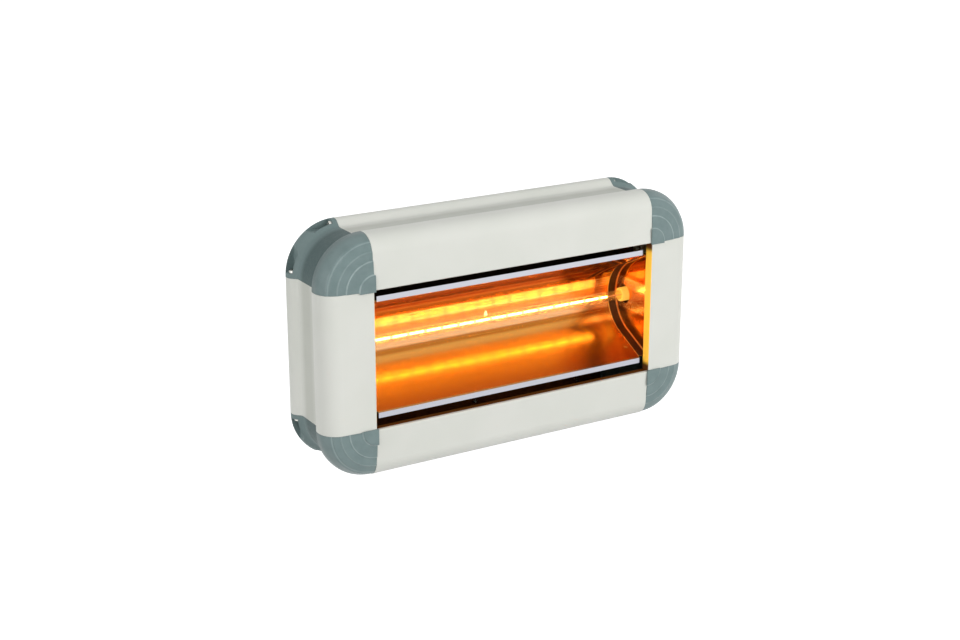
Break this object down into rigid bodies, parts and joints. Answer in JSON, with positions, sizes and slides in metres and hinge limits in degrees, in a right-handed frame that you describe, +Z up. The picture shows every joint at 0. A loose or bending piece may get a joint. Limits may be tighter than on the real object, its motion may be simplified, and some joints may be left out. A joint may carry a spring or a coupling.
{
  "type": "radiant heater",
  "caption": "Wall-mounted short-wave infrared heater: a quartz halogen lamp in a polished trough inside a painted extruded frame with cast corners, on a tilting bracket.",
  "frame": {"origin": "middle of the wall bracket's bolt pattern, on the wall plane", "axes": "+X along the lamp to the right as seen from the front, +Y into the wall, +Z up; the heater's opening faces -Y"},
  "size_m": [0.432, 0.2012, 0.248],
  "materials": {
    "profile_paint": "off-white powder coat, satin",
    "corner_paint": "blue-grey paint with a soft gloss",
    "fastener_steel": "zinc-plated",
    "reflector": "bright rolled mirror sheet",
    "cap_steel": "heat-browned sheet",
    "quartz": "clear fused quartz",
    "filament": "white-hot tungsten",
    "support_wire": "drawn tungsten wire",
    "lamp_ceramic": "unglazed steatite",
    "clip_steel": "spring steel",
    "block_ceramic": "unglazed steatite",
    "terminal_brass": "plain brass",
    "lead_sleeve": "silicone and glass-fibre sleeve",
    "earth_sleeve": "silicone sleeve",
    "seal_rubber": "black silicone",
    "cover_paint": "blue-grey paint, satin",
    "gland_plastic": "black polyamide",
    "bracket_paint": "blue-grey paint, satin"
  },
  "bodies": {
    "wall_bracket": {"wall_bracket": "bracket_paint", "pivot_bolts": "fastener_steel", "pivot_nuts": "fastener_steel", "pivot_washers": "fastener_steel"},
    "heater": {"top_profile": "profile_paint", "right_profile": "profile_paint", "bottom_profile": "profile_paint", "left_profile": "profile_paint", "corner_top_right": "corner_paint", "corner_bottom_right": "corner_paint", "corner_bottom_left": "corner_paint", "corner_top_left": "corner_paint", "corner_screws": "fastener_steel", "rear_cover_screws": "fastener_steel", "reflector_rivets": "fastener_steel", "end_cap_screws": "fastener_steel", "earth_screw": "fastener_steel", "lock_screws": "fastener_steel", "lock_nuts": "fastener_steel", "tilt_bracket_screws": "fastener_steel", "tilt_bracket_nuts": "fastener_steel", "reflector_trough": "reflector", "end_mirror_left": "reflector", "end_mirror_right": "reflector", "end_cap_left": "cap_steel", "end_cap_right": "cap_steel", "lamp_tube": "quartz", "lamp_filament": "filament", "lamp_supports": "support_wire", "lamp_base_left": "lamp_ceramic", "lamp_base_right": "lamp_ceramic", "lamp_clip_left": "clip_steel", "lamp_clip_right": "clip_steel", "terminal_block": "block_ceramic", "terminal_screws": "terminal_brass", "lamp_lead_left": "lead_sleeve", "lamp_lead_right": "lead_sleeve", "earth_lead": "earth_sleeve", "rear_gasket": "seal_rubber", "gland_seal": "seal_rubber", "rear_cover": "cover_paint", "gland_body": "gland_plastic", "gland_locknut": "gland_plastic", "gland_cap": "gland_plastic", "tilt_bracket": "bracket_paint"}
  },
  "joints": [
    {"name": "tilt", "type": "hinge", "parent": "wall_bracket", "child": "heater", "pos_m": [0, -0.074, 0], "axis": [1, 0, 0], "range_deg": [0, 45]}
  ]
}
